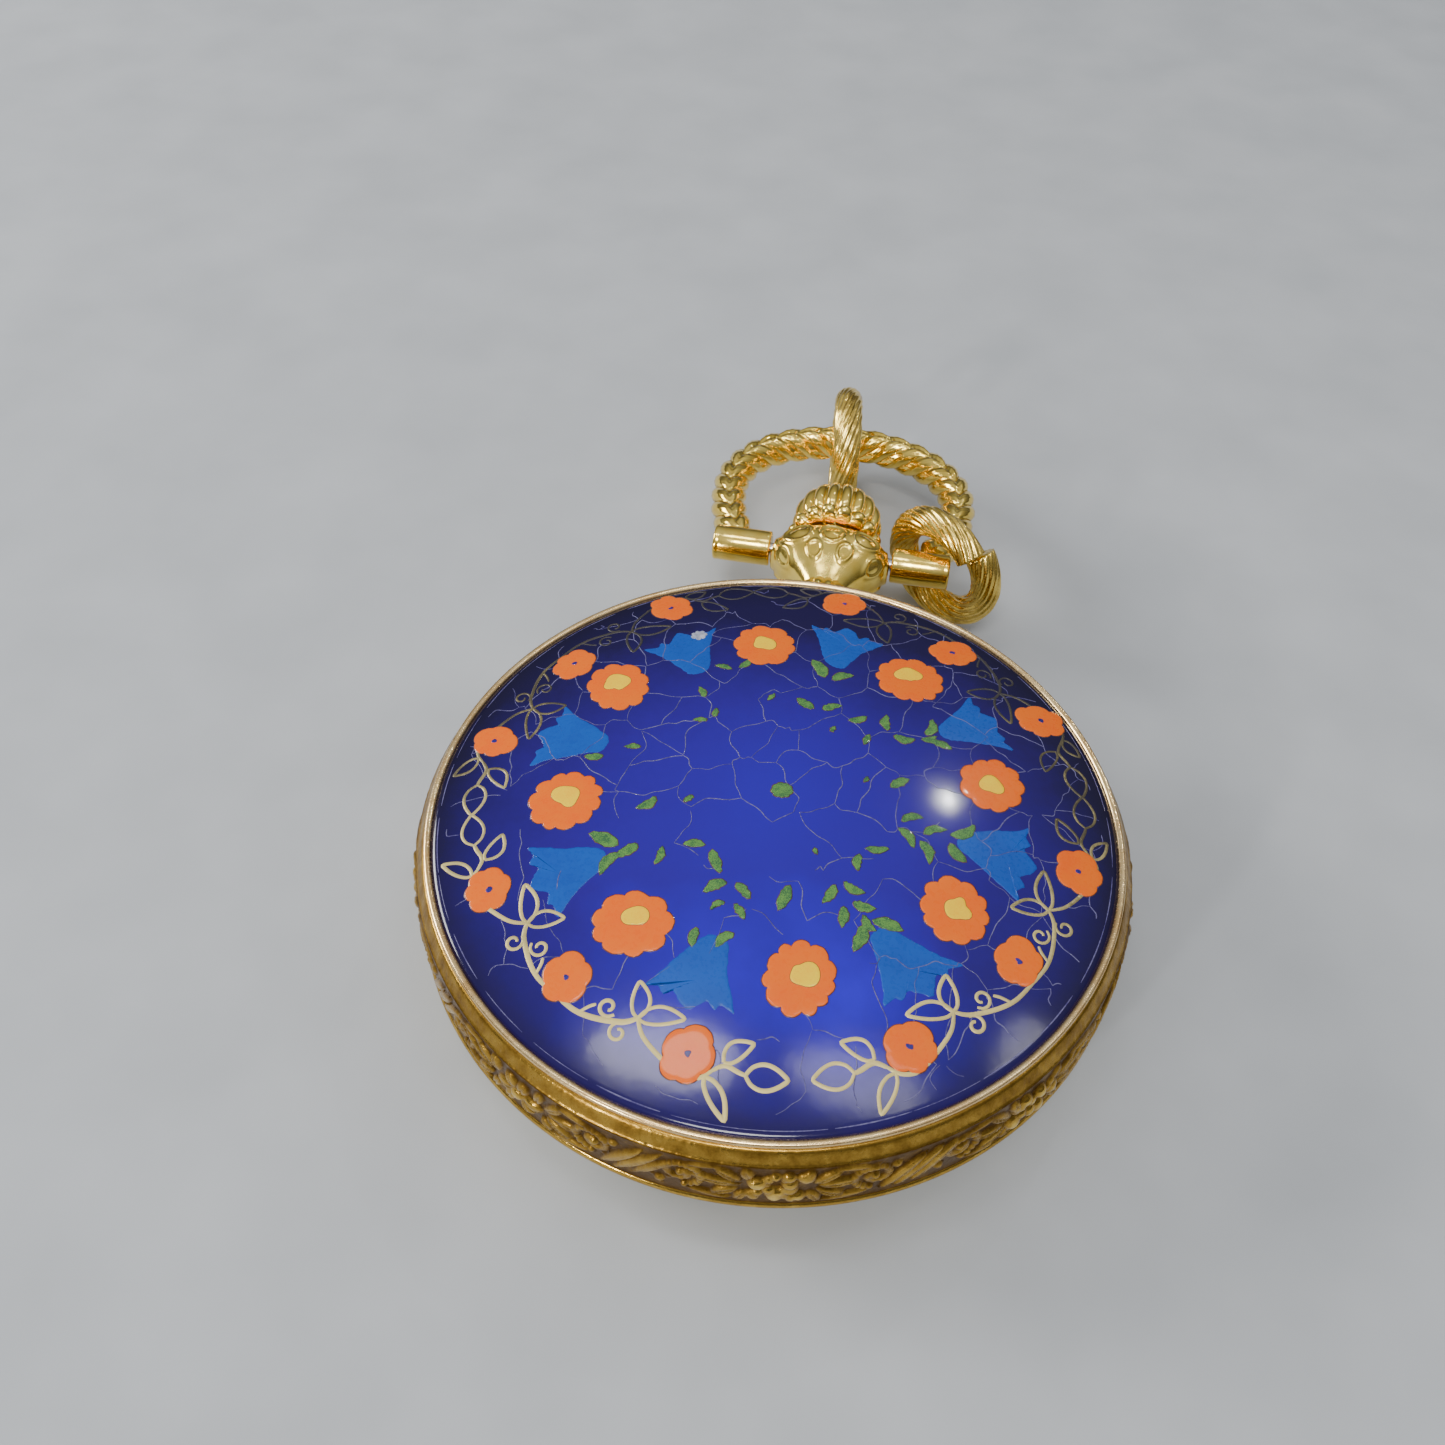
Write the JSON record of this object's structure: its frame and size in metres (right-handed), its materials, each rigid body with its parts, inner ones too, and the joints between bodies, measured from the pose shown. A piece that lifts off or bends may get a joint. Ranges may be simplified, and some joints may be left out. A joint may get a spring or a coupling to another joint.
{
  "type": "fob watch",
  "caption": "Small round hanging watch: domed enamelled back in a chased gold case, fluted crown, rope-twist bow with jump rings, and a hand-wound movement behind a crystal.",
  "frame": {"origin": "on the case axis, on the outer flat face of the crystal, which the watch lies on", "axes": "+Z from the crystal to the enamelled back, +Y from the case to the crown and bow, +X across the pendant"},
  "size_m": [0.0278, 0.0443, 0.0077],
  "materials": {
    "gold": "polished and chased gold",
    "ring_gold": "reeded gold wire, slightly dull",
    "enamel": "glossy cobalt enamel with painted flowers",
    "crystal": "clear",
    "gasket": "matte",
    "dial_enamel": "white enamel",
    "marker": "black enamel paint",
    "movement_brass": "gilt, grained",
    "steel": "polished steel",
    "blued_steel": "heat blued",
    "ruby": "polished jewel"
  },
  "bodies": {
    "case": {"case_band": "gold", "bezel": "gold", "crystal": "crystal", "crystal_gasket": "gasket", "pendant_neck": "gold", "pendant_collar": "gold", "bow_pins": "steel", "movement_ring": "movement_brass", "case_screws": "blued_steel", "main_plate": "movement_brass", "barrel_bridge": "movement_brass", "train_bridge": "movement_brass", "balance_cock": "movement_brass", "pallet_cock": "movement_brass", "jewels": "ruby", "bridge_screws": "blued_steel", "dial": "dial_enamel", "dial_markers": "marker", "click_spring": "steel"},
    "back": {"back_cover": "gold", "enamel_disc": "enamel"},
    "bow": {"bow": "gold", "bow_barrel_left": "gold", "bow_barrel_right": "gold"},
    "ring_top": {"jump_ring_top": "ring_gold"},
    "ring_side": {"jump_ring_side": "ring_gold"},
    "winding_pinion": {"winding_pinion": "steel"},
    "crown": {"crown": "gold", "crown_ring": "gold", "winding_stem": "steel"},
    "sliding_pinion": {"sliding_pinion": "steel"},
    "setting_lever": {"setting_lever": "steel"},
    "yoke": {"yoke": "steel"},
    "crown_wheel": {"crown_wheel": "steel"},
    "ratchet": {"ratchet_wheel": "steel", "barrel_arbor": "steel"},
    "click": {"click": "steel"},
    "barrel": {"mainspring_barrel": "movement_brass", "barrel_cover": "movement_brass", "mainspring": "steel"},
    "centre_wheel": {"centre_wheel": "movement_brass"},
    "third_wheel": {"third_wheel": "movement_brass"},
    "fourth_wheel": {"fourth_wheel": "movement_brass"},
    "escape_wheel": {"escape_wheel": "steel"},
    "pallet_fork": {"pallet_fork": "steel"},
    "balance": {"balance_wheel": "movement_brass", "balance_staff": "steel", "hairspring": "blued_steel"},
    "regulator": {"regulator": "steel"},
    "minute_hand": {"minute_hand": "blued_steel", "cannon_pinion": "steel"},
    "hour_hand": {"hour_hand": "blued_steel", "hour_wheel": "movement_brass"},
    "minute_wheel": {"minute_wheel": "movement_brass"},
    "setting_wheel": {"setting_wheel": "steel"}
  },
  "joints": [
    {"name": "back_lift", "type": "slide", "parent": "case", "child": "back", "axis": [0, 0, 1], "range_m": [0, 0.01]},
    {"name": "bow_swing", "type": "hinge", "parent": "case", "child": "bow", "pos_m": [0, 0.01765, 0.004], "axis": [1, 0, 0], "range_deg": [-60, 95]},
    {"name": "top_ring_swing", "type": "hinge", "parent": "bow", "child": "ring_top", "pos_m": [-0.00045, 0.02803, 0.00296], "axis": [1, 0, 0], "range_deg": [-90, 90]},
    {"name": "side_ring_swing", "type": "hinge", "parent": "bow", "child": "ring_side", "pos_m": [0.00502, 0.01889, 0.00387], "axis": [0.3401, 0.9357, -0.0939], "range_deg": [-35, 50]},
    {"name": "crown_spin", "type": "hinge", "parent": "case", "child": "winding_pinion", "pos_m": [0, 0.0075, 0.004], "axis": [0, 1, 0], "continuous": true},
    {"name": "crown_pull", "type": "slide", "parent": "winding_pinion", "child": "crown", "axis": [0, 1, 0], "range_m": [0, 0.0008]},
    {"name": "sliding_pinion_slide", "type": "slide", "parent": "winding_pinion", "child": "sliding_pinion", "axis": [0, 1, 0], "range_m": [-0.0006, 0]},
    {"name": "setting_lever_turn", "type": "hinge", "parent": "case", "child": "setting_lever", "pos_m": [0.0026, 0.00815, 0.0029], "axis": [0, 0, -1], "range_deg": [0, 17.7]},
    {"name": "yoke_turn", "type": "hinge", "parent": "case", "child": "yoke", "pos_m": [-0.0026, 0.00635, 0.00278], "axis": [0, 0, -1], "range_deg": [0, 13.3]},
    {"name": "crown_wheel_turn", "type": "hinge", "parent": "case", "child": "crown_wheel", "pos_m": [0, 0.00541, 0.0054], "axis": [0, 0, 1], "continuous": true},
    {"name": "ratchet_turn", "type": "hinge", "parent": "case", "child": "ratchet", "pos_m": [-0.00454, 0.00165, 0.0054], "axis": [0, 0, 1], "continuous": true},
    {"name": "click_rock", "type": "hinge", "parent": "case", "child": "click", "pos_m": [-0.00902, -0.00044, 0.0054], "axis": [0, 0, -1], "range_deg": [0, 8]},
    {"name": "fourth_wheel_turn", "type": "hinge", "parent": "case", "child": "fourth_wheel", "pos_m": [0.00318, -0.00368, 0.0041], "axis": [0, 0, 1], "continuous": true},
    {"name": "centre_wheel_turn", "type": "hinge", "parent": "case", "child": "centre_wheel", "pos_m": [0, 0, 0.0034], "axis": [0, 0, 1], "continuous": true},
    {"name": "third_wheel_turn", "type": "hinge", "parent": "case", "child": "third_wheel", "pos_m": [0.00377, -0.00033, 0.0045], "axis": [0, 0, 1], "continuous": true},
    {"name": "escape_wheel_turn", "type": "hinge", "parent": "case", "child": "escape_wheel", "pos_m": [0.00017, -0.00541, 0.0036], "axis": [0, 0, 1], "continuous": true},
    {"name": "barrel_turn", "type": "hinge", "parent": "case", "child": "barrel", "pos_m": [-0.00454, 0.00165, 0.004], "axis": [0, 0, 1], "continuous": true},
    {"name": "balance_swing", "type": "hinge", "parent": "case", "child": "balance", "pos_m": [-0.0043, -0.0057, 0.0044], "axis": [0, 0, 1], "range_deg": [-150, 150]},
    {"name": "pallet_rock", "type": "hinge", "parent": "case", "child": "pallet_fork", "pos_m": [-0.00132, -0.00551, 0.0036], "axis": [0, 0, 1], "range_deg": [-5, 5]},
    {"name": "regulator_turn", "type": "hinge", "parent": "case", "child": "regulator", "pos_m": [-0.0043, -0.0057, 0.0053], "axis": [0, 0, 1], "range_deg": [-20, 20]},
    {"name": "minute_hand_turn", "type": "hinge", "parent": "case", "child": "minute_hand", "pos_m": [0, 0, 0.0014], "axis": [0, 0, 1], "continuous": true},
    {"name": "hour_hand_turn", "type": "hinge", "parent": "case", "child": "hour_hand", "pos_m": [0, 0, 0.0018], "axis": [0, 0, 1], "continuous": true},
    {"name": "minute_wheel_turn", "type": "hinge", "parent": "case", "child": "minute_wheel", "pos_m": [0, 0.002, 0.0029], "axis": [0, 0, 1], "continuous": true},
    {"name": "setting_wheel_turn", "type": "hinge", "parent": "case", "child": "setting_wheel", "pos_m": [0, 0.0045, 0.0029], "axis": [0, 0, 1], "continuous": true}
  ],
  "couplings": [
    {"joint": "sliding_pinion_slide", "follows": "crown_pull", "ratio": -0.75},
    {"joint": "setting_lever_turn", "follows": "crown_pull", "rad_per_m": 384.62},
    {"joint": "yoke_turn", "follows": "crown_pull", "rad_per_m": 288.46},
    {"joint": "crown_wheel_turn", "follows": "crown_spin", "ratio": -0.42857},
    {"joint": "ratchet_turn", "follows": "crown_spin", "ratio": 0.25},
    {"joint": "centre_wheel_turn", "follows": "fourth_wheel_turn", "ratio": 0.016667},
    {"joint": "third_wheel_turn", "follows": "fourth_wheel_turn", "ratio": -0.13333},
    {"joint": "escape_wheel_turn", "follows": "fourth_wheel_turn", "ratio": -10},
    {"joint": "barrel_turn", "follows": "fourth_wheel_turn", "ratio": -0.0027778},
    {"joint": "pallet_rock", "follows": "balance_swing", "ratio": -0.033333},
    {"joint": "hour_hand_turn", "follows": "minute_hand_turn", "ratio": 0.083333},
    {"joint": "minute_wheel_turn", "follows": "minute_hand_turn", "ratio": -0.33333},
    {"joint": "setting_wheel_turn", "follows": "minute_hand_turn", "ratio": 0.5}
  ]
}
